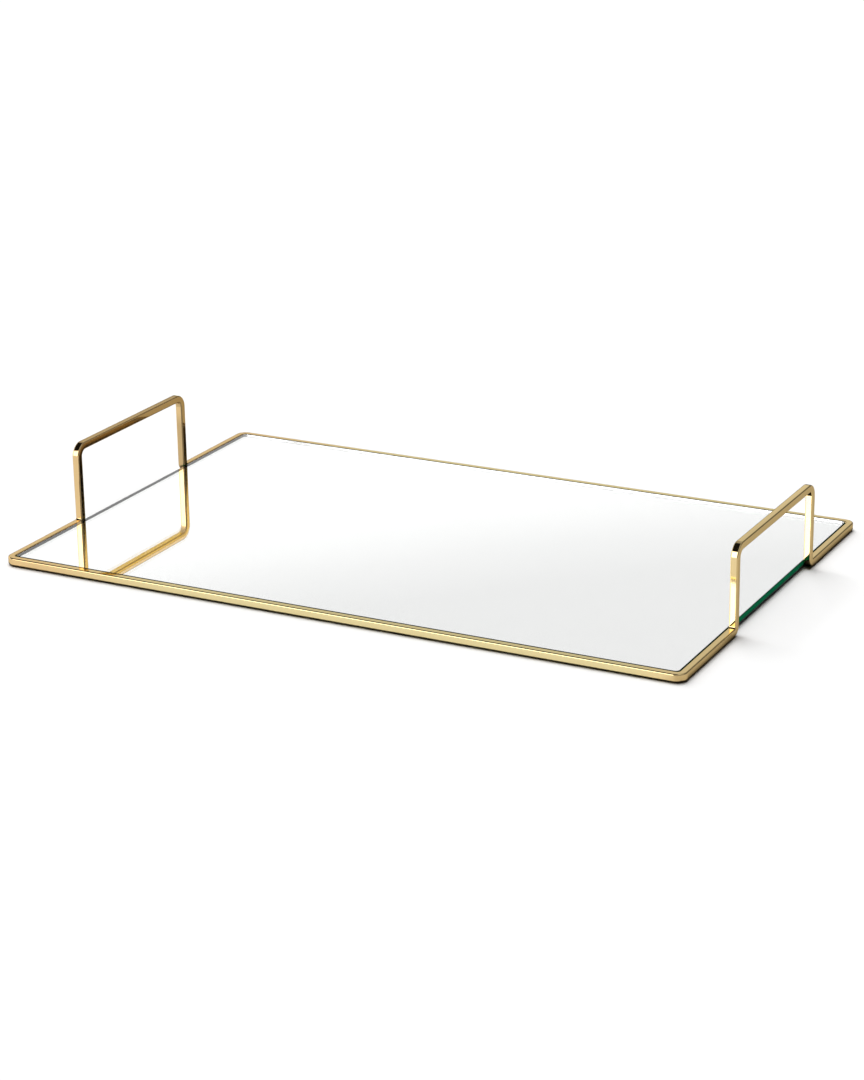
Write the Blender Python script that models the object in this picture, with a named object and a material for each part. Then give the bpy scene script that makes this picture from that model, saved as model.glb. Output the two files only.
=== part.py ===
"""Mirrored vanity tray: a bent square-bar frame with two loop handles around a silvered glass pane.

Metres, +Z up. The origin is the centre of the tray on the surface that it stands on.
+X runs along the tray to the right handle, +Y runs from the front rail to the rear rail.
"""
import math

import bmesh
import bpy

MM = 0.001

# Driving dimensions
TRAY_LENGTH = 480 * MM          # over the outer faces of the two ends
TRAY_WIDTH = 304 * MM           # over the outer faces of the two long rails
BAR = 5.0 * MM                  # side of the square bar
BAR_EDGE_RADIUS = 0.9 * MM      # rounding along the bar's four edges
HANDLE_SPAN = 136 * MM          # over the outer faces of a handle's two posts
HANDLE_RISE = 53 * MM           # from the top of the rails to the top of the handle
SEAM_FROM_END = 42 * MM         # from a long rail's outer face to the weld on the end

PLAN_CORNER_RADIUS = 7.0 * MM   # outer radius of the frame's corners
HANDLE_TOP_RADIUS = 9.5 * MM    # outer radius of the handle's top bends
FOOT_RADIUS = 6.0 * MM          # outer radius of the bends at the handle's feet

GLASS_THICKNESS = 3.8 * MM
GLASS_BELOW_RAIL = 0.05 * MM    # the pane's top is almost level with the rails
GLASS_CORNER_RADIUS = 3.0 * MM
FILM_THICKNESS = 0.15 * MM
TAB_THICKNESS = 0.5 * MM

PAD_THICKNESS = 0.5 * MM
PAD_DIAMETER = 9.0 * MM

FIT_GAP = 0.3 * MM              # between pieces that touch on the real tray
FILM_GAP = 0.25 * MM            # above and below the thin film

# Support plates under the pane
GUSSET_LEG = 24 * MM
GUSSET_CLIP = 3 * MM
GUSSET_PAD_INSET = 9 * MM
RAIL_TAB_SIZE = (16 * MM, 12 * MM)
RAIL_TAB_X = 80 * MM
FOOT_TAB_SIZE = (9 * MM, 12 * MM)
TAB_CORNER_RADIUS = 1.5 * MM

# Levels, from the surface that the tray stands on
BAR_BOTTOM = PAD_THICKNESS + FIT_GAP
BAR_TOP = BAR_BOTTOM + BAR
HANDLE_TOP = BAR_TOP + HANDLE_RISE
GLASS_TOP = BAR_TOP - GLASS_BELOW_RAIL
GLASS_BOTTOM = GLASS_TOP - GLASS_THICKNESS
FILM_TOP = GLASS_BOTTOM - FILM_GAP

# Plan positions
HALF_LENGTH = TRAY_LENGTH / 2
HALF_WIDTH = TRAY_WIDTH / 2
INNER_X = HALF_LENGTH - BAR
INNER_Y = HALF_WIDTH - BAR
SEAM_Y = HALF_WIDTH - SEAM_FROM_END

BEND_STEPS = 10
EDGE_STEPS = 3
ROUND_STEPS = 8
PAD_SIDES = 32

# Colours, linear RGB
GOLD = (0.78, 0.58, 0.29)
GLASS_GREEN = (0.55, 0.80, 0.68)
FILM_GREY = (0.16, 0.17, 0.18)
RUBBER_BLACK = (0.02, 0.02, 0.02)

PARTS_NAME = "vanity_tray"
GUIDES_NAME = "guides"


def clear_scene():
    for item in list(bpy.data.objects):
        bpy.data.objects.remove(item)


def new_collection(name):
    collection = bpy.data.collections.new(name)
    bpy.context.scene.collection.children.link(collection)
    return collection


def new_material(name, colour, roughness, metallic=0.0, transmission=0.0):
    material = bpy.data.materials.new(name)
    material.use_nodes = True
    shader = material.node_tree.nodes["Principled BSDF"]
    shader.inputs["Base Color"].default_value = (*colour, 1.0)
    shader.inputs["Roughness"].default_value = roughness
    shader.inputs["Metallic"].default_value = metallic
    shader.inputs["Transmission Weight"].default_value = transmission
    material.diffuse_color = (*colour, 1.0)
    return material


def arc(centre, radius, start, turn, steps):
    """Points on an arc in the XY plane, from angle start through angle turn."""
    angles = (start + turn * step / steps for step in range(steps + 1))
    return [(centre[0] + radius * math.cos(a), centre[1] + radius * math.sin(a)) for a in angles]


def rounded_path(corners, radius, steps, closed=False):
    """A path of straight runs through corners, in the XY plane, with every turn rounded to radius."""
    points = []
    last = len(corners) - 1
    for index, corner in enumerate(corners):
        if not closed and index in (0, last):
            points.append(corner)
            continue
        before = corners[index - 1]
        after = corners[(index + 1) % len(corners)]
        heading_in = math.atan2(corner[1] - before[1], corner[0] - before[0])
        heading_out = math.atan2(after[1] - corner[1], after[0] - corner[0])
        turn = math.remainder(heading_out - heading_in, math.tau)
        side = math.copysign(1.0, turn)
        setback = radius * math.tan(abs(turn) / 2)
        touch = (corner[0] - setback * math.cos(heading_in), corner[1] - setback * math.sin(heading_in))
        normal = heading_in + side * math.pi / 2
        centre = (touch[0] + radius * math.cos(normal), touch[1] + radius * math.sin(normal))
        points += arc(centre, radius, normal + math.pi, turn, steps)
    return points


def poly_curve(name, points, closed, collection):
    curve = bpy.data.curves.new(name, "CURVE")
    curve.dimensions = "2D" if closed else "3D"
    spline = curve.splines.new("POLY")
    spline.points.add(len(points) - 1)
    for point, (x, y) in zip(spline.points, points):
        point.co = (x, y, 0.0, 1.0)
    spline.use_cyclic_u = closed
    item = bpy.data.objects.new(name, curve)
    collection.objects.link(item)
    return item


def rectangle(size_x, size_y):
    half_x, half_y = size_x / 2, size_y / 2
    return [(-half_x, -half_y), (half_x, -half_y), (half_x, half_y), (-half_x, half_y)]


def make_bar_profile(guides):
    """The bar's section, a square with rounded edges, which the frame's paths sweep."""
    outline = rounded_path(rectangle(BAR, BAR), BAR_EDGE_RADIUS, EDGE_STEPS, closed=True)
    profile = poly_curve("bar_profile", outline[::-1], True, guides)
    profile.data.fill_mode = "NONE"
    profile.hide_render = True
    profile.display_type = "WIRE"
    return profile


def sweep_bar(name, points, profile, material, parts):
    item = poly_curve(name, points, False, parts)
    item.data.twist_mode = "Z_UP"
    item.data.bevel_mode = "OBJECT"
    item.data.bevel_object = profile
    item.data.use_fill_caps = True
    item.data.materials.append(material)
    return item


def plate(name, outline, thickness, bottom, material, parts):
    """A flat plate with the given outline, its lower face at the height bottom."""
    item = poly_curve(name, outline, True, parts)
    item.data.fill_mode = "BOTH"
    item.data.extrude = thickness / 2
    item.data.materials.append(material)
    item.location.z = bottom + thickness / 2
    return item


def make_rail(name, side, profile, gold, parts):
    """A long rail with its two corners; side is -1 for the front and 1 for the rear."""
    end_x = HALF_LENGTH - BAR / 2
    rail_y = side * (HALF_WIDTH - BAR / 2)
    seam_y = side * (SEAM_Y + FIT_GAP / 2)
    corners = [(-end_x, seam_y), (-end_x, rail_y), (end_x, rail_y), (end_x, seam_y)]
    path = rounded_path(corners, PLAN_CORNER_RADIUS - BAR / 2, BEND_STEPS)
    rail = sweep_bar(name, path, profile, gold, parts)
    rail.location.z = BAR_BOTTOM + BAR / 2


def handle_path():
    """The handle's centre line, drawn flat: X along the end of the tray, Y upwards."""
    leg_end = SEAM_Y - FIT_GAP / 2
    post = (HANDLE_SPAN - BAR) / 2
    low = BAR_BOTTOM + BAR / 2
    high = HANDLE_TOP - BAR / 2
    foot_radius = FOOT_RADIUS - BAR / 2
    top_radius = HANDLE_TOP_RADIUS - BAR / 2
    middle = (0.0, high)
    left_half = rounded_path([(-leg_end, low), (-post, low), (-post, high / 2)], foot_radius, BEND_STEPS)
    left_top = rounded_path([(-post, high / 2), (-post, high), middle], top_radius, BEND_STEPS)
    half = left_half[:-1] + left_top[1:-1]
    mirrored = [(-x, y) for x, y in reversed(half)]
    return half + mirrored


def make_handle(name, side, profile, gold, parts):
    """A loop handle standing on one end of the tray; side is -1 for the left and 1 for the right."""
    handle = sweep_bar(name, handle_path(), profile, gold, parts)
    handle.rotation_euler = (math.pi / 2, 0.0, math.pi / 2)
    handle.location.x = side * (HALF_LENGTH - BAR / 2)


def make_pane(glass, film, parts):
    size_x = 2 * (INNER_X - FIT_GAP)
    size_y = 2 * (INNER_Y - FIT_GAP)
    outline = rounded_path(rectangle(size_x, size_y), GLASS_CORNER_RADIUS, ROUND_STEPS, closed=True)
    plate("mirror_glass", outline, GLASS_THICKNESS, GLASS_BOTTOM, glass, parts)
    plate("mirror_backing_film", outline, FILM_THICKNESS, FILM_TOP - FILM_THICKNESS, film, parts)


def make_pad(name, x, y, rubber, parts):
    mesh = bpy.data.meshes.new(name)
    shape = bmesh.new()
    bmesh.ops.create_cone(shape, cap_ends=True, segments=PAD_SIDES, radius1=PAD_DIAMETER / 2,
                          radius2=PAD_DIAMETER / 2, depth=PAD_THICKNESS)
    shape.to_mesh(mesh)
    shape.free()
    mesh.materials.append(rubber)
    pad = bpy.data.objects.new(name, mesh)
    pad.location = (x, y, PAD_THICKNESS / 2)
    parts.objects.link(pad)


def gusset_outline(side_x, side_y):
    """A triangle in the frame's corner, clipped where it would meet the bar's rounded inner corner."""
    near, clip, far = FIT_GAP, FIT_GAP + GUSSET_CLIP, FIT_GAP + GUSSET_LEG
    shape = [(clip, near), (far, near), (far, clip), (clip, far), (near, far), (near, clip)]
    outline = [(side_x * (INNER_X - x), side_y * (INNER_Y - y)) for x, y in shape]
    return outline if side_x * side_y > 0 else outline[::-1]


def make_corner_supports(gold, rubber, parts):
    for side_y, row in ((-1, "front"), (1, "rear")):
        for side_x, end in ((-1, "left"), (1, "right")):
            place = f"{row}_{end}"
            plate(f"corner_gusset_{place}", gusset_outline(side_x, side_y), TAB_THICKNESS, BAR_BOTTOM,
                  gold, parts)
            pad_x = side_x * (INNER_X - GUSSET_PAD_INSET)
            pad_y = side_y * (INNER_Y - GUSSET_PAD_INSET)
            make_pad(f"corner_pad_{place}", pad_x, pad_y, rubber, parts)


def make_tab(name, size, x, y, gold, parts):
    outline = rounded_path(rectangle(*size), TAB_CORNER_RADIUS, ROUND_STEPS, closed=True)
    tab = plate(name, outline, TAB_THICKNESS, BAR_BOTTOM, gold, parts)
    tab.location.x = x
    tab.location.y = y


def make_rail_supports(gold, rubber, parts):
    for side_y, row in ((-1, "front"), (1, "rear")):
        for side_x, end in ((-1, "left"), (1, "right")):
            place = f"{row}_{end}"
            x = side_x * RAIL_TAB_X
            y = side_y * (INNER_Y - FIT_GAP - RAIL_TAB_SIZE[1] / 2)
            make_tab(f"rail_tab_{place}", RAIL_TAB_SIZE, x, y, gold, parts)
            make_pad(f"rail_pad_{place}", x, y, rubber, parts)


def make_foot_tabs(gold, parts):
    """Tabs beside the handle feet, welded to the straight end bar just past the bend."""
    y = HANDLE_SPAN / 2 + FOOT_TAB_SIZE[1] / 2
    x = INNER_X - FIT_GAP - FOOT_TAB_SIZE[0] / 2
    for side_y, row in ((-1, "front"), (1, "rear")):
        for side_x, end in ((-1, "left"), (1, "right")):
            make_tab(f"foot_tab_{row}_{end}", FOOT_TAB_SIZE, side_x * x, side_y * y, gold, parts)


def build():
    clear_scene()
    parts = new_collection(PARTS_NAME)
    guides = new_collection(GUIDES_NAME)
    gold = new_material("polished_gold", GOLD, 0.12, metallic=1.0)
    glass = new_material("silvered_glass", GLASS_GREEN, 0.02, transmission=0.8)
    film = new_material("backing_film", FILM_GREY, 0.6)
    rubber = new_material("pad_rubber", RUBBER_BLACK, 0.8)
    profile = make_bar_profile(guides)
    make_rail("front_rail", -1, profile, gold, parts)
    make_rail("rear_rail", 1, profile, gold, parts)
    make_handle("left_handle", -1, profile, gold, parts)
    make_handle("right_handle", 1, profile, gold, parts)
    make_pane(glass, film, parts)
    make_corner_supports(gold, rubber, parts)
    make_rail_supports(gold, rubber, parts)
    make_foot_tabs(gold, parts)


build()
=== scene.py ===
import math

import bmesh
import bpy
from mathutils import Matrix, Vector


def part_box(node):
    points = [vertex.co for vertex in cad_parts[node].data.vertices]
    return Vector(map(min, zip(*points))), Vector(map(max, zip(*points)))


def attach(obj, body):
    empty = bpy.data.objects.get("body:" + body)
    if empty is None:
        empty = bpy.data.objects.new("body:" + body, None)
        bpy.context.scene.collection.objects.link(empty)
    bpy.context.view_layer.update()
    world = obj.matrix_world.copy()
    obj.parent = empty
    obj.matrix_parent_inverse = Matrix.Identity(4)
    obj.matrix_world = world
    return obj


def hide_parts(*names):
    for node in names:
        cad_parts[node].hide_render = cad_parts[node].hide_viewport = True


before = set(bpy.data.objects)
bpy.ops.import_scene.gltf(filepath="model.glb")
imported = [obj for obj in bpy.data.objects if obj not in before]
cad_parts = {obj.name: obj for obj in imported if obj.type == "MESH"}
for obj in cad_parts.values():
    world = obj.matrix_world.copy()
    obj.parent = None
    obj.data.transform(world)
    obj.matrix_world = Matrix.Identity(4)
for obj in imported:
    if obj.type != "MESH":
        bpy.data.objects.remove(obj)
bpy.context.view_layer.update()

# The looks of the mirrored vanity tray. Metres, +Z up: the tray stands on z = 0, +X runs to the right
# handle and +Y from the front rail to the rear rail.

MM = 0.001

# Read off the CAD nodes
RAIL_LOW, RAIL_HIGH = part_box("front_rail")
HANDLE_LOW, HANDLE_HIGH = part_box("right_handle")
GLASS_LOW, GLASS_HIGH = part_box("mirror_glass")
FILM_LOW, FILM_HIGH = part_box("mirror_backing_film")
BAR = HANDLE_HIGH.x - HANDLE_LOW.x
BAR_BOTTOM = RAIL_LOW.z
BAR_TOP = RAIL_HIGH.z
HANDLE_TOP = HANDLE_HIGH.z
HALF_LENGTH = RAIL_HIGH.x
HALF_WIDTH = -RAIL_LOW.y
INNER_X = HALF_LENGTH - BAR
INNER_Y = HALF_WIDTH - BAR
SEAM_Y = (HANDLE_HIGH.y - RAIL_HIGH.y) / 2

# As in the CAD source, where a box doesn't show them
BAR_EDGE_RADIUS = 0.9 * MM
PLAN_CORNER_RADIUS = 7.0 * MM
HANDLE_SPAN = 136 * MM
HANDLE_TOP_RADIUS = 9.5 * MM
FOOT_RADIUS = 6.0 * MM
GLASS_CORNER_RADIUS = 3.0 * MM
TAB_CORNER_RADIUS = 1.5 * MM

# Finer than the CAD model
BEND_STEPS = 24
EDGE_STEPS = 8
ROUND_STEPS = 16
GLASS_ARRIS = 0.35 * MM
PLATE_EDGE = 0.12 * MM
PAD_SIDES = 96
PAD_RIM = 0.15 * MM
PAD_GROOVE = 0.12 * MM
PAD_GROOVE_AT = 0.7         # of the pad's radius
PAD_RIM_STEPS = 6
PAD_GROOVE_STEPS = 8
PLATE_SINK = 0.8 * MM       # how far a plate runs in under the bar's rounded edge
GUSSET_NEAR = 3.3 * MM      # a gusset's clipped corner and the width of its ends, off the bars' inner faces
GUSSET_FAR = 24.3 * MM      # how far a gusset reaches along each bar
TAB_REACH = 1.1 * MM        # the CAD gap and the sink together
BRAZE_RADIUS = 0.42 * MM
BRAZE_END_RADIUS = 0.05 * MM
BRAZE_LIFT = 0.25 * MM      # of the bead's axis over the underside of the plate
BRAZE_RIPPLE = 0.8 * MM
BRAZE_SWELL = 0.18          # of the bead's radius
BRAZE_BLUNTNESS = 6         # how squarely a bead ends: 2 would give an ellipse
RIPPLE_STEPS = 8
BRAZE_SIDES = 12
FILM_CLEAR = 0.02 * MM
FILM_EDGE = 0.02 * MM

# Tolerances and shading
SAME_HEIGHT = 0.01 * MM
SAME_POINT = 0.001 * MM
UPRIGHT = 0.1               # the most that an upright face's normal leans up or down
SHARP_EDGE = 40             # degrees
PANE_SHARP_EDGE = 20        # degrees
FLAT_FACE_WEIGHT = 80       # percent, how much the large faces set the normals


# ---- shapes ----

def arc(centre, radius, start, turn, steps):
    """Points on an arc in a plane, from angle start through angle turn."""
    angles = (start + turn * step / steps for step in range(steps + 1))
    return [(centre[0] + radius * math.cos(a), centre[1] + radius * math.sin(a)) for a in angles]


def rounded_path(corners, radius, steps, closed=False):
    """A path of straight runs through corners, with every turn rounded to radius."""
    points = []
    last = len(corners) - 1
    for index, corner in enumerate(corners):
        if not closed and index in (0, last):
            points.append(corner)
            continue
        before = corners[index - 1]
        after = corners[(index + 1) % len(corners)]
        heading_in = math.atan2(corner[1] - before[1], corner[0] - before[0])
        heading_out = math.atan2(after[1] - corner[1], after[0] - corner[0])
        turn = math.remainder(heading_out - heading_in, math.tau)
        side = math.copysign(1.0, turn)
        setback = radius * math.tan(abs(turn) / 2)
        touch = (corner[0] - setback * math.cos(heading_in), corner[1] - setback * math.sin(heading_in))
        normal = heading_in + side * math.pi / 2
        centre = (touch[0] + radius * math.cos(normal), touch[1] + radius * math.sin(normal))
        points += arc(centre, radius, normal + math.pi, turn, steps)
    return points


def rectangle(size_x, size_y):
    """The corners of a rectangle around the origin, counter-clockwise."""
    half_x, half_y = size_x / 2, size_y / 2
    return [(-half_x, -half_y), (half_x, -half_y), (half_x, half_y), (-half_x, half_y)]


def new_piece(name, shape, materials, slot, *nodes, sharp_edge=SHARP_EDGE):
    """Finishes a bmesh as a piece that stands for CAD nodes, with area-weighted smooth shading."""
    bmesh.ops.recalc_face_normals(shape, faces=shape.faces)
    mesh = bpy.data.meshes.new(name)
    shape.to_mesh(mesh)
    shape.free()
    for material in materials:
        mesh.materials.append(material)
    mesh.shade_smooth()
    mesh.set_sharp_from_angle(angle=math.radians(sharp_edge))
    piece = bpy.data.objects.new(name, mesh)
    bpy.context.scene.collection.objects.link(piece)
    weighted = piece.modifiers.new("even_normals", "WEIGHTED_NORMAL")
    weighted.keep_sharp = True
    weighted.weight = FLAT_FACE_WEIGHT
    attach(piece, "root")
    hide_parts(*nodes)
    return piece


def skin(shape, rings, capped=True):
    """Quads between rings of equal length, and a face over each end."""
    for ring, following in zip(rings, rings[1:]):
        for index in range(len(ring)):
            after = (index + 1) % len(ring)
            shape.faces.new((ring[index], ring[after], following[after], following[index]))
    if capped:
        shape.faces.new(rings[0])
        shape.faces.new(rings[-1][::-1])


def sweep(shape, path, section, place):
    """Sweeps a section along a flat path, mitred at every point; place maps (u, v, w) to the row frame."""
    rings = []
    for index, point in enumerate(path):
        here = Vector(point)
        runs = []
        if index > 0:
            runs.append((here - Vector(path[index - 1])).normalized())
        if index < len(path) - 1:
            runs.append((Vector(path[index + 1]) - here).normalized())
        heading = sum(runs, Vector((0.0, 0.0))).normalized()
        stretch = 1 / heading.dot(runs[0])
        across = Vector((-heading.y, heading.x)) * stretch
        ring = [place(here.x + across.x * a, here.y + across.y * a, b) for a, b in section]
        rings.append([shape.verts.new(corner) for corner in ring])
    skin(shape, rings)


def bar_section():
    """The bar's section, a square with rounded edges."""
    return rounded_path(rectangle(BAR, BAR), BAR_EDGE_RADIUS, EDGE_STEPS, closed=True)


def make_rail(name, side, gold):
    """A long rail with its two corners; side is -1 for the front and 1 for the rear."""
    end_x = HALF_LENGTH - BAR / 2
    rail_y = side * (HALF_WIDTH - BAR / 2)
    seam_y = side * SEAM_Y
    corners = [(-end_x, seam_y), (-end_x, rail_y), (end_x, rail_y), (end_x, seam_y)]
    path = rounded_path(corners, PLAN_CORNER_RADIUS - BAR / 2, BEND_STEPS)
    middle = (BAR_BOTTOM + BAR_TOP) / 2
    shape = bmesh.new()
    sweep(shape, path, bar_section(), lambda u, v, w: (u, v, middle + w))
    return new_piece(name + "_bar", shape, [gold], "polished_gold", name)


def handle_path():
    """The handle's centre line: u along the end of the tray, v upwards."""
    post = (HANDLE_SPAN - BAR) / 2
    low = BAR_BOTTOM + BAR / 2
    high = HANDLE_TOP - BAR / 2
    foot_radius = FOOT_RADIUS - BAR / 2
    top_radius = HANDLE_TOP_RADIUS - BAR / 2
    foot = rounded_path([(-SEAM_Y, low), (-post, low), (-post, high / 2)], foot_radius, BEND_STEPS)
    top = rounded_path([(-post, high / 2), (-post, high), (0.0, high)], top_radius, BEND_STEPS)
    half = foot[:-1] + top[1:-1]
    return half + [(-u, v) for u, v in reversed(half)]


def make_handle(name, side, gold):
    """A loop handle on one end of the tray; side is -1 for the left and 1 for the right."""
    end_x = side * (HALF_LENGTH - BAR / 2)
    shape = bmesh.new()
    sweep(shape, handle_path(), bar_section(), lambda u, v, w: (end_x + w, u, v))
    return new_piece(name + "_bar", shape, [gold], "polished_gold", name)


def plate_rings(shape, outline_at, levels):
    """Rings of a flat plate: levels holds (height, inset) pairs, and outline_at gives the outline there."""
    return [[shape.verts.new((x, y, z)) for x, y in outline_at(inset)] for z, inset in levels]


def make_glass(clear, edge, silver, arris):
    """The pane: clear on top, silvered below, with an upright edge between two ground arrises."""
    materials = [clear, edge, silver, arris]
    size_x = GLASS_HIGH.x - GLASS_LOW.x
    size_y = GLASS_HIGH.y - GLASS_LOW.y

    def outline_at(inset):
        corners = rectangle(size_x - 2 * inset, size_y - 2 * inset)
        return rounded_path(corners, GLASS_CORNER_RADIUS - inset, ROUND_STEPS, closed=True)

    low, high = GLASS_LOW.z, GLASS_HIGH.z
    levels = [(low, GLASS_ARRIS), (low + GLASS_ARRIS, 0.0), (high - GLASS_ARRIS, 0.0), (high, GLASS_ARRIS)]
    shape = bmesh.new()
    skin(shape, plate_rings(shape, outline_at, levels))
    shape.faces.ensure_lookup_table()
    shape.normal_update()
    for face in shape.faces:
        middle = face.calc_center_median().z
        if middle <= low + SAME_HEIGHT:
            face.material_index = materials.index(silver)
        elif middle < high - SAME_HEIGHT:
            upright = abs(face.normal.z) < UPRIGHT
            face.material_index = materials.index(edge if upright else arris)
    return new_piece("mirror_pane", shape, materials, "silvered_glass", "mirror_glass",
                     sharp_edge=PANE_SHARP_EDGE)


def inset_outline(outline, inset):
    """Moves a counter-clockwise outline inwards, mitred at every corner."""
    moved = []
    for index, corner in enumerate(outline):
        here = Vector(corner)
        arriving = (here - Vector(outline[index - 1])).normalized()
        leaving = (Vector(outline[(index + 1) % len(outline)]) - here).normalized()
        inwards = Vector((-arriving.y - leaving.y, arriving.x + leaving.x)).normalized()
        reach = inset / inwards.dot(Vector((-arriving.y, arriving.x)))
        moved.append(tuple(here + inwards * reach))
    return moved


def add_plate(shape, outline, low, high, edge=PLATE_EDGE):
    """A flat plate with eased edges, from a counter-clockwise outline."""
    levels = [(low, edge), (low + edge, 0.0), (high - edge, 0.0), (high, edge)]
    skin(shape, plate_rings(shape, lambda inset: inset_outline(outline, inset), levels))


def add_braze(shape, start, end):
    """The rippled bead of braze where a plate meets a bar."""
    start, end = Vector(start), Vector(end)
    run = end - start
    ahead = run.normalized()
    across = Vector((-ahead.y, ahead.x, 0.0))
    steps = round(run.length / BRAZE_RIPPLE) * RIPPLE_STEPS
    rings = []
    for step in range(steps + 1):
        at = start + run * step / steps
        ripple = abs(math.sin(math.pi * step / RIPPLE_STEPS))
        taper = math.sqrt(max(0.0, 1 - (2 * step / steps - 1) ** BRAZE_BLUNTNESS))
        radius = BRAZE_RADIUS * (1 - BRAZE_SWELL + BRAZE_SWELL * ripple) * taper
        radius = max(BRAZE_END_RADIUS, radius)
        circle = arc((0.0, 0.0), radius, 0.0, math.tau, BRAZE_SIDES)[:-1]
        rings.append([shape.verts.new(at + across * u + Vector((0.0, 0.0, v))) for u, v in circle])
    skin(shape, rings)


def turned_over(outline):
    """Keeps an outline counter-clockwise after it was mirrored."""
    area = sum(a[0] * b[1] - b[0] * a[1] for a, b in zip(outline, outline[1:] + outline[:1]))
    return outline if area > 0 else outline[::-1]


def make_gusset(node, side_x, side_y, satin):
    """A corner plate brazed between a rail and its end bar."""
    low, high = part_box(node)
    near, clip, far = -PLATE_SINK, GUSSET_NEAR, GUSSET_FAR
    inwards = [(clip, near), (far, near), (far, clip), (clip, far), (near, far), (near, clip)]
    outline = [(side_x * (INNER_X - u), side_y * (INNER_Y - v)) for u, v in inwards]
    shape = bmesh.new()
    add_plate(shape, turned_over(outline), low.z, high.z)
    bead_z = low.z + BRAZE_LIFT
    for start, end in ((clip, 0.0), (far, 0.0)), ((0.0, clip), (0.0, far)):
        ends = [(side_x * (INNER_X - u), side_y * (INNER_Y - v), bead_z) for u, v in (start, end)]
        add_braze(shape, *ends)
    return new_piece(node + "_plate", shape, [satin], "polished_gold", node)


def make_tab(node, side_x, side_y, satin):
    """A rounded support tab brazed to the bar that it stands beside: a rail, or a handle's foot."""
    low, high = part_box(node)
    on_rail = node.startswith("rail")
    grow_x, grow_y = (0.0, side_y * TAB_REACH) if on_rail else (side_x * TAB_REACH, 0.0)
    size = (high.x - low.x + abs(grow_x), high.y - low.y + abs(grow_y))
    middle = ((low.x + high.x + grow_x) / 2, (low.y + high.y + grow_y) / 2)
    rounded = rounded_path(rectangle(*size), TAB_CORNER_RADIUS, ROUND_STEPS, closed=True)
    outline = [(middle[0] + x, middle[1] + y) for x, y in rounded]
    shape = bmesh.new()
    add_plate(shape, outline, low.z, high.z)
    bead_z = low.z + BRAZE_LIFT
    if on_rail:
        edge_y = side_y * INNER_Y
        start = (low.x + TAB_CORNER_RADIUS, edge_y, bead_z)
        end = (high.x - TAB_CORNER_RADIUS, edge_y, bead_z)
    else:
        edge_x = side_x * INNER_X
        start = (edge_x, low.y + TAB_CORNER_RADIUS, bead_z)
        end = (edge_x, high.y - TAB_CORNER_RADIUS, bead_z)
    add_braze(shape, start, end)
    return new_piece(node + "_plate", shape, [satin], "polished_gold", node)


def pad_profile(radius, top):
    """The half section of a pad, from its top face over the rim to the grooved sole, as (reach, height)."""
    flat = radius - PAD_RIM
    upper_rim = arc((flat, top - PAD_RIM), PAD_RIM, math.pi / 2, -math.pi / 2, PAD_RIM_STEPS)
    lower_rim = arc((flat, PAD_RIM), PAD_RIM, 0.0, -math.pi / 2, PAD_RIM_STEPS)
    groove = arc((PAD_GROOVE_AT * radius, 0.0), PAD_GROOVE, 0.0, math.pi, PAD_GROOVE_STEPS)
    return [(flat, top)] + upper_rim + lower_rim + groove


def make_pad(node, plate, rubber):
    """A moulded rubber foot stuck under a plate: a soft rim, and a shallow ring on the sole."""
    low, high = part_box(node)
    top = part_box(plate)[0].z
    centre = (low + high) / 2
    shape = bmesh.new()
    rings = []
    for reach, z in pad_profile((high.x - low.x) / 2, top):
        circle = arc((0.0, 0.0), reach, 0.0, math.tau, PAD_SIDES)[:-1]
        rings.append([shape.verts.new((centre.x + x, centre.y + y, z)) for x, y in circle])
    skin(shape, rings)
    bmesh.ops.remove_doubles(shape, verts=shape.verts, dist=SAME_POINT)
    return new_piece(node + "_foot", shape, [rubber], "pad_rubber", node)


def make_film(backing):
    """The painted and filmed back of the mirror."""
    size_x, size_y = FILM_HIGH.x - FILM_LOW.x, FILM_HIGH.y - FILM_LOW.y
    outline = rounded_path(rectangle(size_x, size_y), GLASS_CORNER_RADIUS, ROUND_STEPS, closed=True)
    shape = bmesh.new()
    add_plate(shape, outline, FILM_LOW.z, GLASS_LOW.z - FILM_CLEAR, edge=FILM_EDGE)
    return new_piece("mirror_back_film", shape, [backing], "backing_film", "mirror_backing_film")


# ---- nodes ----

def new_material(name):
    """A new material, with its node tree and its shader node."""
    material = bpy.data.materials.new(name)
    material.use_nodes = True
    return material, material.node_tree, material.node_tree.nodes["Principled BSDF"]


def add(tree, kind, settings=None, **sockets):
    """Adds a node. Its inputs go by name, or by number as i0, i1 and so on, and each is a value or another
    node's output."""
    node = tree.nodes.new("ShaderNode" + kind)
    for key, value in (settings or {}).items():
        setattr(node, key, value)
    for key, value in sockets.items():
        numbered = key[0] == "i" and key[1:].isdigit()
        socket = node.inputs[int(key[1:])] if numbered else node.inputs[key]
        if isinstance(value, bpy.types.NodeSocket):
            tree.links.new(value, socket)
        else:
            socket.default_value = value
    return node


def row_place(tree):
    """The place of a shading point, in metres in the row frame."""
    return add(tree, "TexCoord").outputs["Object"]


def noise(tree, scale, detail=3.0, stretch=(1.0, 1.0, 1.0)):
    """Smooth noise in the row frame; scale is in cycles a metre."""
    mapping = add(tree, "Mapping", Vector=row_place(tree), Scale=stretch)
    texture = add(tree, "TexNoise", Vector=mapping.outputs[0], Scale=scale, Detail=detail)
    return texture.outputs["Fac"]


def between(tree, value, low, high):
    """Maps the range that noise mostly stays in to low..high."""
    node = add(tree, "MapRange", Value=value)
    node.inputs["From Min"].default_value = 0.3
    node.inputs["From Max"].default_value = 0.7
    node.inputs["To Min"].default_value = low
    node.inputs["To Max"].default_value = high
    return node.outputs[0]


def smooth_step(tree, value, low, high):
    """0 at low and before it, 1 at high and past it, and a smooth change between. Low may be the greater."""
    node = add(tree, "MapRange", {"interpolation_type": "SMOOTHSTEP"}, Value=value)
    node.inputs["From Min"].default_value = low
    node.inputs["From Max"].default_value = high
    return node.outputs[0]


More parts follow.
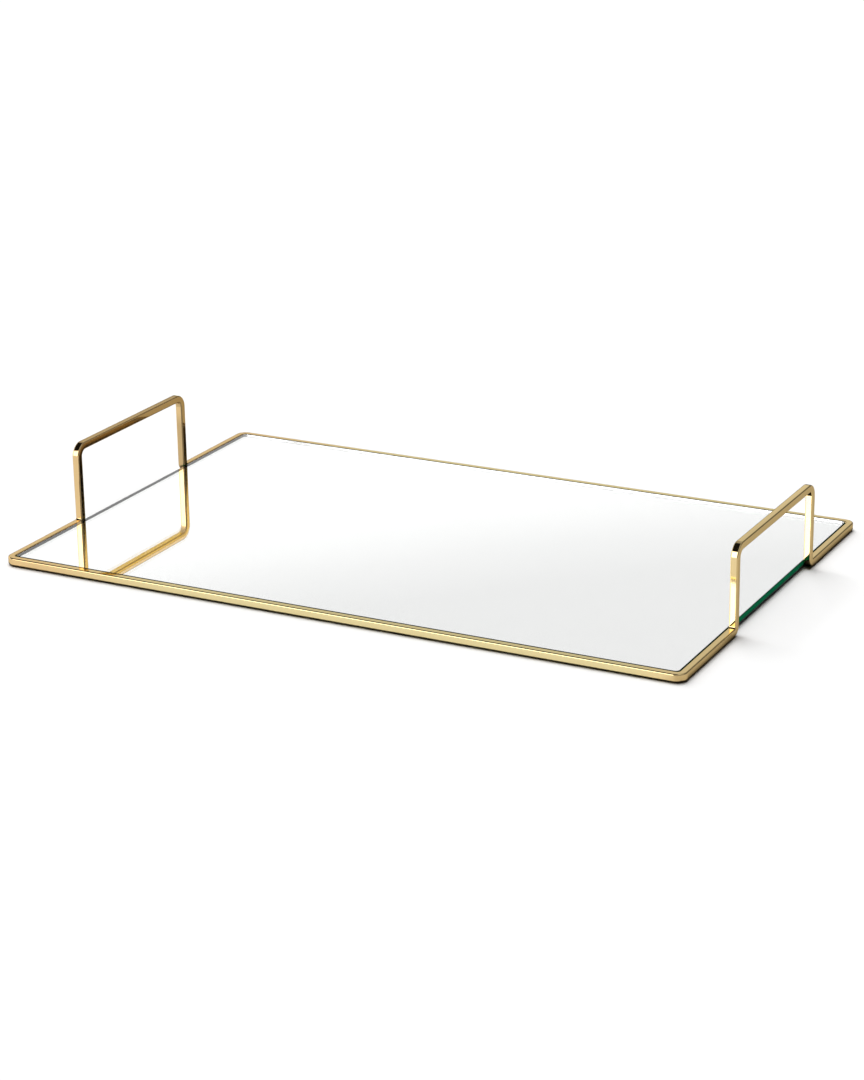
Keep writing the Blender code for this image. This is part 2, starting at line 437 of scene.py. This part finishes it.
def math_node(tree, operation, *values):
    """A Math node on one or two values."""
    sockets = {f"i{index}": value for index, value in enumerate(values)}
    return add(tree, "Math", {"operation": operation}, **sockets).outputs[0]


def product(tree, *factors):
    result = factors[0]
    for factor in factors[1:]:
        result = math_node(tree, "MULTIPLY", result, factor)
    return result


def over(tree, mask, below, above_it):
    """The colour below, covered by another where mask is 1."""
    mix = add(tree, "Mix", {"data_type": "RGBA"})
    tree.links.new(mask, mix.inputs["Factor"])
    for value, socket in ((below, mix.inputs[6]), (above_it, mix.inputs[7])):
        if isinstance(value, bpy.types.NodeSocket):
            tree.links.new(value, socket)
        else:
            socket.default_value = (*value, 1.0)
    return mix.outputs[2]


def bump(tree, height, distance, strength):
    return add(tree, "Bump", Height=height, Distance=distance, Strength=strength).outputs[0]


def grey(level):
    return (level, level, level)


def grey_ramp(tree, factor, stops):
    """Grey levels at rising values of a factor, with straight runs between them."""
    node = add(tree, "ValToRGB", Fac=factor)
    points = node.color_ramp.elements
    while len(points) < len(stops):
        points.new(1.0)
    for point, (at, level) in zip(points, stops):
        point.position = at
        point.color = (*grey(level), 1.0)
    return node.outputs[0]


# ---- materials ----

# Base colours of the gold plate, each a pair that noise blends between. The left pair is painted shade,
# darker and pinker, and the right pair a painted warm reflection; the middle pair is the plate's own colour.
GOLD_LEFT_PAINTED_SHADE = (0.740, 0.515, 0.250), (0.765, 0.545, 0.270)
GOLD_MIDDLE = (0.745, 0.625, 0.325), (0.765, 0.645, 0.345)
GOLD_RIGHT_PAINTED_REFLECTION = (0.785, 0.605, 0.305), (0.805, 0.625, 0.325)
LEFT_PAINTED_SHADE_FADE = (-0.24, -0.10)      # along X, where the left tone gives way to the middle one
RIGHT_PAINTED_REFLECTION_FADE = (0.20, 0.235)      # and the middle one to the right one

GLASS_IOR = 1.52
GROUND_FADE = (0.140, 0.144)    # along Y, where the edge of the pane turns from polished to ground
GROUND_ROUGHNESS = 0.22


def gold_material():
    """Polished gold plate, with painted shade at the left end of the tray, darker and pinker, and a painted
    warm reflection at the right end.
    """
    material, tree, shader = new_material("polished_gold_plate")
    across = add(tree, "SeparateXYZ", Vector=row_place(tree)).outputs["X"]
    left, middle, right = [over(tree, noise(tree, 60.0), *pair)
                           for pair in (GOLD_LEFT_PAINTED_SHADE, GOLD_MIDDLE, GOLD_RIGHT_PAINTED_REFLECTION)]
    # painted shade at the left end and a painted warm reflection at the right end, blended in along X
    tone = over(tree, smooth_step(tree, across, *LEFT_PAINTED_SHADE_FADE), left, middle)
    tone = over(tree, smooth_step(tree, across, *RIGHT_PAINTED_REFLECTION_FADE), tone, right)
    tree.links.new(tone, shader.inputs["Base Color"])
    tree.links.new(between(tree, noise(tree, 900.0, 5.0), 0.03, 0.07), shader.inputs["Roughness"])
    tree.links.new(bump(tree, noise(tree, 120.0, 2.0), 0.02 * MM, 0.15), shader.inputs["Normal"])
    shader.inputs["Metallic"].default_value = 1.0
    shader.inputs["Specular Tint"].default_value = (0.60, 0.58, 0.52, 1.0)
    return material


def satin_gold_material():
    """The plates under the tray: plated like the bars, but not polished."""
    material, tree, shader = new_material("satin_gold_plate")
    tone = over(tree, noise(tree, 220.0), (0.600, 0.440, 0.215), (0.720, 0.555, 0.290))
    tree.links.new(tone, shader.inputs["Base Color"])
    tree.links.new(between(tree, noise(tree, 700.0, 5.0), 0.26, 0.42), shader.inputs["Roughness"])
    brushed = noise(tree, 900.0, 4.0, stretch=(0.08, 1.0, 1.0))
    tree.links.new(bump(tree, brushed, 0.02 * MM, 0.5), shader.inputs["Normal"])
    shader.inputs["Metallic"].default_value = 1.0
    return material


def backing_material():
    """Dull grey protective film over the mirror paint, with a fine woven grain."""
    material, tree, shader = new_material("grey_backing_film")
    tone = over(tree, noise(tree, 35.0, 4.0), (0.115, 0.125, 0.135), (0.165, 0.172, 0.182))
    tree.links.new(tone, shader.inputs["Base Color"])
    tree.links.new(between(tree, noise(tree, 260.0, 4.0), 0.48, 0.66), shader.inputs["Roughness"])
    place = row_place(tree)
    threads = [add(tree, "TexWave", {"bands_direction": axis}, Vector=place, Scale=420.0).outputs["Fac"]
               for axis in ("X", "Y")]
    weave = product(tree, *threads)
    uneven = math_node(tree, "ADD", weave, noise(tree, 180.0, 5.0))
    tree.links.new(bump(tree, uneven, 0.03 * MM, 0.5), shader.inputs["Normal"])
    return material


def rubber_material():
    """Dull black rubber with a fine moulded grain."""
    material, tree, shader = new_material("black_pad_rubber")
    tone = over(tree, noise(tree, 500.0, 4.0), (0.014, 0.014, 0.015), (0.030, 0.030, 0.031))
    tree.links.new(tone, shader.inputs["Base Color"])
    tree.links.new(between(tree, noise(tree, 900.0, 4.0), 0.62, 0.80), shader.inputs["Roughness"])
    tree.links.new(bump(tree, noise(tree, 3500.0, 4.0), 0.03 * MM, 0.6), shader.inputs["Normal"])
    return material


def arris_material():
    """The ground arris around the pane, painted near-black: painted shade that stands in for the dark view
    into the green glass.
    """
    material, tree, shader = new_material("float_glass_arris")
    # near-black painted shade along the arris
    tone = over(tree, noise(tree, 300.0), (0.006, 0.014, 0.010), (0.012, 0.026, 0.018))
    tree.links.new(tone, shader.inputs["Base Color"])
    tree.links.new(between(tree, noise(tree, 1200.0, 4.0), 0.30, 0.45), shader.inputs["Roughness"])
    tree.links.new(bump(tree, noise(tree, 2500.0, 3.0), 0.01 * MM, 0.4), shader.inputs["Normal"])
    shader.inputs["Specular IOR Level"].default_value = 0.2
    return material


def clear_glass_material():
    """The top of the pane, which lets light through to the silver."""
    material, tree, shader = new_material("float_glass_clear")
    tone = over(tree, noise(tree, 8.0), (0.985, 0.995, 0.990), (1.0, 1.0, 1.0))
    tree.links.new(tone, shader.inputs["Base Color"])
    shader.inputs["Roughness"].default_value = 0.0
    shader.inputs["IOR"].default_value = GLASS_IOR
    shader.inputs["Transmission Weight"].default_value = 1.0
    return material


def glass_edge_material():
    """The cut edge: deep green from outside. To light that is inside the pane it is clear glass, polished
    along the front and the sides and finely ground along the rear."""
    material, tree, shader = new_material("float_glass_edge")
    tone = over(tree, noise(tree, 150.0), (0.006, 0.200, 0.082), (0.011, 0.250, 0.108))
    tree.links.new(tone, shader.inputs["Base Color"])
    tree.links.new(between(tree, noise(tree, 400.0, 4.0), 0.18, 0.30), shader.inputs["Roughness"])
    shader.inputs["Specular IOR Level"].default_value = 0.0
    depth = add(tree, "SeparateXYZ", Vector=row_place(tree)).outputs["Y"]
    ground = product(tree, smooth_step(tree, depth, *GROUND_FADE), GROUND_ROUGHNESS)
    inside = add(tree, "BsdfGlass", IOR=GLASS_IOR, Roughness=ground)
    from_inside = add(tree, "NewGeometry").outputs["Backfacing"]
    mix = add(tree, "MixShader", i0=from_inside, i1=shader.outputs[0], i2=inside.outputs[0])
    tree.links.new(mix.outputs[0], tree.nodes["Material Output"].inputs["Surface"])
    return material


def silver_material():
    """The silver coating, seen through the glass."""
    material, tree, shader = new_material("silver_coating")
    tone = over(tree, noise(tree, 12.0), (0.955, 0.960, 0.955), (0.970, 0.972, 0.968))
    tree.links.new(tone, shader.inputs["Base Color"])
    shader.inputs["Metallic"].default_value = 1.0
    shader.inputs["Roughness"].default_value = 0.0
    return material


# ---- studio ----

CAMERA_AT = (0.8126, -1.5714, 0.6346)
CAMERA_YAW, CAMERA_DOWN, CAMERA_ROLL = 27.264, 19.575, -0.756    # degrees
CAMERA_LENS = 94.26
CAMERA_SHIFT = (-0.0065, -0.0011)
CAMERA_SENSOR = 36.0

UP = Vector((0.0, 0.0, 1.0))

# Levels of grey in the world. The room's go by the upward part of a direction, the sweep's by degrees.
ROOM_LEVELS = [(0.0, 0.15), (0.25, 0.30), (0.90, 0.45), (0.98, 0.95)]
SWEEP_LEVELS = [(17.8, 1.15), (18.4, 1.12), (19.2, 1.07), (19.8, 0.98), (20.6, 0.90), (22.5, 0.885),
                (23.3, 0.89), (24.4, 0.45), (50.0, 0.45)]
SWEEP_DIM = grey(0.80)
BELOW_BACKDROP = grey(0.02)
RIGHT_WALL = grey(0.20)
CARD_DARK = grey(0.004)
CARD_LOW = (0.30, 0.20, 0.09)
CARD_STRIP = (1.25, 1.15, 0.70)
LEFT_CARD = grey(0.01)
FRONT_PANEL = grey(3.2)
LEFT_PANEL = grey(1.7)

# Tones of the floor. Reflections see the last six, and everything else the first. Five of those six are
# painted light and shade: a painted shadow under the tray, painted shade behind it, to its right and beside
# the middle of its left side, and a painted yellow light beside the rear of its left side.
PAPER = grey(0.8)
PAPER_REFLECTED = grey(0.78)
PAPER_PAINTED_SHADE_BEHIND = (0.38, 0.34, 0.25)
PAPER_PAINTED_SHADE_LEFT_MIDDLE = grey(0.57)
PAPER_PAINTED_YELLOW_LIGHT_LEFT_REAR = (1.0, 0.85, 0.12)
PAPER_PAINTED_SHADE_RIGHT = (0.54, 0.50, 0.44)
PAPER_PAINTED_SHADOW_BENEATH = grey(0.06)
FLOOR_SIZE = 40.0


def make_camera():
    data = bpy.data.cameras.new("camera")
    data.sensor_width = CAMERA_SENSOR
    data.lens = CAMERA_LENS
    data.shift_x, data.shift_y = CAMERA_SHIFT
    data.clip_start = 0.01
    camera = bpy.data.objects.new("camera", data)
    turn = Matrix.Rotation(math.radians(CAMERA_YAW), 4, "Z")
    turn @= Matrix.Rotation(math.radians(90 - CAMERA_DOWN), 4, "X")
    turn @= Matrix.Rotation(math.radians(CAMERA_ROLL), 4, "Z")
    camera.matrix_world = Matrix.Translation(CAMERA_AT) @ turn
    bpy.context.scene.collection.objects.link(camera)
    bpy.context.scene.camera = camera


def towards(azimuth, elevation):
    """The direction at an azimuth, in degrees from +Y towards +X, and an elevation."""
    a, e = math.radians(azimuth), math.radians(elevation)
    return Vector((math.sin(a) * math.cos(e), math.cos(a) * math.cos(e), math.sin(e)))


def make_softbox(name, azimuth, elevation, spread, strength):
    """A large far softbox: a sun with a wide disc, spread degrees across. Reflections and the inside of the
    glass don't see it; they see the panels of the world."""
    data = bpy.data.lights.new(name, "SUN")
    data.angle = math.radians(spread)
    data.energy = strength
    light = bpy.data.objects.new(name, data)
    light.rotation_euler = towards(azimuth, elevation).to_track_quat("Z", "Y").to_euler()
    light.visible_glossy = False
    light.visible_transmission = False
    bpy.context.scene.collection.objects.link(light)


def along(tree, direction, axis):
    """How far the direction points along an axis."""
    return add(tree, "VectorMath", {"operation": "DOT_PRODUCT"}, i0=direction, i1=axis).outputs["Value"]


def patch(tree, direction, centre, inner, outer):
    """1 within inner degrees of the centre direction, fading to 0 at outer degrees."""
    low, high = math.cos(math.radians(outer)), math.cos(math.radians(inner))
    return smooth_step(tree, along(tree, direction, centre), low, high)


def sine(degrees):
    return math.sin(math.radians(degrees))


def sky_tilt(azimuth, slope):
    """An axis whose dot product rises with elevation, and by slope with the way to the right of azimuth."""
    sideways = towards(azimuth + 90, 0)
    return (UP + slope * sideways).normalized()


def above(tree, direction, axis, at, softness=0.004):
    """1 on the upper side of a straight edge that passes through a direction, and 0 below it."""
    edge = at.dot(axis)
    return smooth_step(tree, along(tree, direction, axis), edge - softness, edge + softness)


def panel(tree, direction, azimuth, half_width, low, high, softness=0.03):
    """A soft-edged panel between two elevations, half_width degrees to either side of an azimuth."""
    edge = sine(half_width)
    height = along(tree, direction, UP)
    across = along(tree, direction, towards(azimuth + 90, 0))
    ahead = along(tree, direction, towards(azimuth, 0))
    return product(tree, smooth_step(tree, height, sine(low), sine(low) + softness),
                   smooth_step(tree, height, sine(high) + softness, sine(high)),
                   smooth_step(tree, across, -edge - softness, -edge + softness),
                   smooth_step(tree, across, edge + softness, edge - softness),
                   smooth_step(tree, ahead, 0.0, 0.1))


def sweep_light(tree, direction):
    """The white sweep behind the tray, brightest low down. Towards the left it is dimmer below a slanted
    edge, and below the backdrop it is dark."""
    azimuth = -27
    height = along(tree, direction, sky_tilt(azimuth, 0.106))
    sweep = grey_ramp(tree, height, [(sine(angle), level) for angle, level in SWEEP_LEVELS])
    lit = above(tree, direction, sky_tilt(azimuth, 0.464), towards(-33.7, 17.7))
    sweep = over(tree, lit, SWEEP_DIM, sweep)
    backdrop = above(tree, direction, sky_tilt(azimuth, 0.10), towards(azimuth, 15.6))
    return over(tree, backdrop, BELOW_BACKDROP, sweep)


def right_card_light(tree, direction):
    """The dark card behind the tray and to its right: brown at its foot, with a bright slanted strip."""
    foot = above(tree, direction, sky_tilt(33, -0.18), towards(32.6, 17.05), 0.003)
    card = over(tree, foot, CARD_LOW, CARD_DARK)
    strip_tilt = sky_tilt(33.75, -0.43)
    strip = above(tree, direction, strip_tilt, towards(33.75, 19.0), 0.0015)
    card = over(tree, strip, card, CARD_STRIP)
    top = above(tree, direction, strip_tilt, towards(33.75, 21.2))
    return over(tree, top, card, CARD_DARK)


def make_world():
    """A dim room with a bright ceiling, a white sweep behind and to the left, a grey wall and a dark card
    behind and to the right, a dark card high on the left, and lit panels at the front left and the left.
    The cards give the metal its dark lines, and the strip in the right one makes the left handle's image
    in the mirror yellow."""
    world = bpy.data.worlds.new("studio")
    bpy.context.scene.world = world
    world.use_nodes = True
    tree = world.node_tree
    direction = add(tree, "TexCoord").outputs["Generated"]
    light = grey_ramp(tree, along(tree, direction, UP), ROOM_LEVELS)
    layers = [
        (patch(tree, direction, towards(-27, 12), 26, 40), sweep_light(tree, direction)),
        (patch(tree, direction, towards(28, 20), 30, 42), RIGHT_WALL),
        (patch(tree, direction, towards(33.8, 18.3), 4, 8), right_card_light(tree, direction)),
        (patch(tree, direction, towards(-100, 60), 33, 40), LEFT_CARD),
        (panel(tree, direction, -155, 13, 0, 40), FRONT_PANEL),
        (panel(tree, direction, -88, 35, 4, 26), LEFT_PANEL),
    ]
    for mask, colour in layers:
        light = over(tree, mask, light, colour)
    tree.links.new(light, tree.nodes["Background"].inputs["Color"])
    world.cycles_visibility.diffuse = False    # the two softboxes light the floor on their own


def within(tree, value, half, softness):
    """1 while a coordinate is between -half and half, and 0 outside."""
    return smooth_step(tree, math_node(tree, "ABSOLUTE", value), half + softness, half)


def floor_material():
    """Pale paper. The camera and diffuse light see it evenly pale. Reflections see painted light and shade
    on it:
    a painted shadow under the tray, painted shade behind it, to its right and beside the middle of its left
    side, and a painted yellow light beside the rear of its left side."""
    material, tree, shader = new_material("floor_paper")
    place = add(tree, "SeparateXYZ", Vector=row_place(tree))
    x, y = place.outputs["X"], place.outputs["Y"]
    # painted shadow under the tray, painted shade around it and a painted yellow light, which only
    # reflections see
    tones = [
        (product(tree, smooth_step(tree, y, -0.04, 0.17), smooth_step(tree, x, -0.30, -0.16)), PAPER_PAINTED_SHADE_BEHIND),
        (product(tree, smooth_step(tree, y, -0.07, -0.03), smooth_step(tree, x, -0.20, -0.24)),
         PAPER_PAINTED_SHADE_LEFT_MIDDLE),
        (product(tree, smooth_step(tree, y, 0.03, 0.06), smooth_step(tree, x, -0.285, -0.305)),
         PAPER_PAINTED_YELLOW_LIGHT_LEFT_REAR),
        (smooth_step(tree, x, 0.22, 0.24), PAPER_PAINTED_SHADE_RIGHT),
        (product(tree, within(tree, x, HALF_LENGTH, 4 * MM), within(tree, y, HALF_WIDTH, 0.8 * MM)),
         PAPER_PAINTED_SHADOW_BENEATH),
    ]
    reflected = PAPER_REFLECTED
    for mask, tone in tones:
        reflected = over(tree, mask, reflected, tone)
    ray = add(tree, "LightPath")
    seen = math_node(tree, "MAXIMUM", ray.outputs["Is Camera Ray"], ray.outputs["Is Diffuse Ray"])
    tree.links.new(over(tree, seen, reflected, PAPER), shader.inputs["Base Color"])
    shader.inputs["Roughness"].default_value = 1.0
    shader.inputs["Specular IOR Level"].default_value = 0.0
    return material


def make_floor():
    shape = bmesh.new()
    bmesh.ops.create_grid(shape, x_segments=2, y_segments=2, size=FLOOR_SIZE)
    mesh = bpy.data.meshes.new("floor")
    shape.to_mesh(mesh)
    shape.free()
    mesh.materials.append(floor_material())
    floor = bpy.data.objects.new("floor", mesh)
    bpy.context.scene.collection.objects.link(floor)


def make_supports(satin, rubber):
    """The hidden plates that carry the mirror, and the pads under them."""
    for row, side_y in (("front", -1), ("rear", 1)):
        for end, side_x in (("left", -1), ("right", 1)):
            corner = f"{row}_{end}"
            make_gusset(f"corner_gusset_{corner}", side_x, side_y, satin)
            make_tab(f"rail_tab_{corner}", side_x, side_y, satin)
            make_tab(f"foot_tab_{corner}", side_x, side_y, satin)
            make_pad(f"corner_pad_{corner}", f"corner_gusset_{corner}", rubber)
            make_pad(f"rail_pad_{corner}", f"rail_tab_{corner}", rubber)


def build():
    gold = gold_material()
    make_rail("front_rail", -1, gold)
    make_rail("rear_rail", 1, gold)
    make_handle("left_handle", -1, gold)
    make_handle("right_handle", 1, gold)
    make_glass(clear_glass_material(), glass_edge_material(), silver_material(), arris_material())
    make_film(backing_material())
    make_supports(satin_gold_material(), rubber_material())
    make_floor()
    make_world()
    make_softbox("left_box", azimuth=-58, elevation=30, spread=50, strength=1.7)
    make_softbox("overhead_box", azimuth=-42, elevation=72, spread=50, strength=3.4)
    make_camera()
    bpy.context.scene.view_settings.view_transform = "Standard"


build()
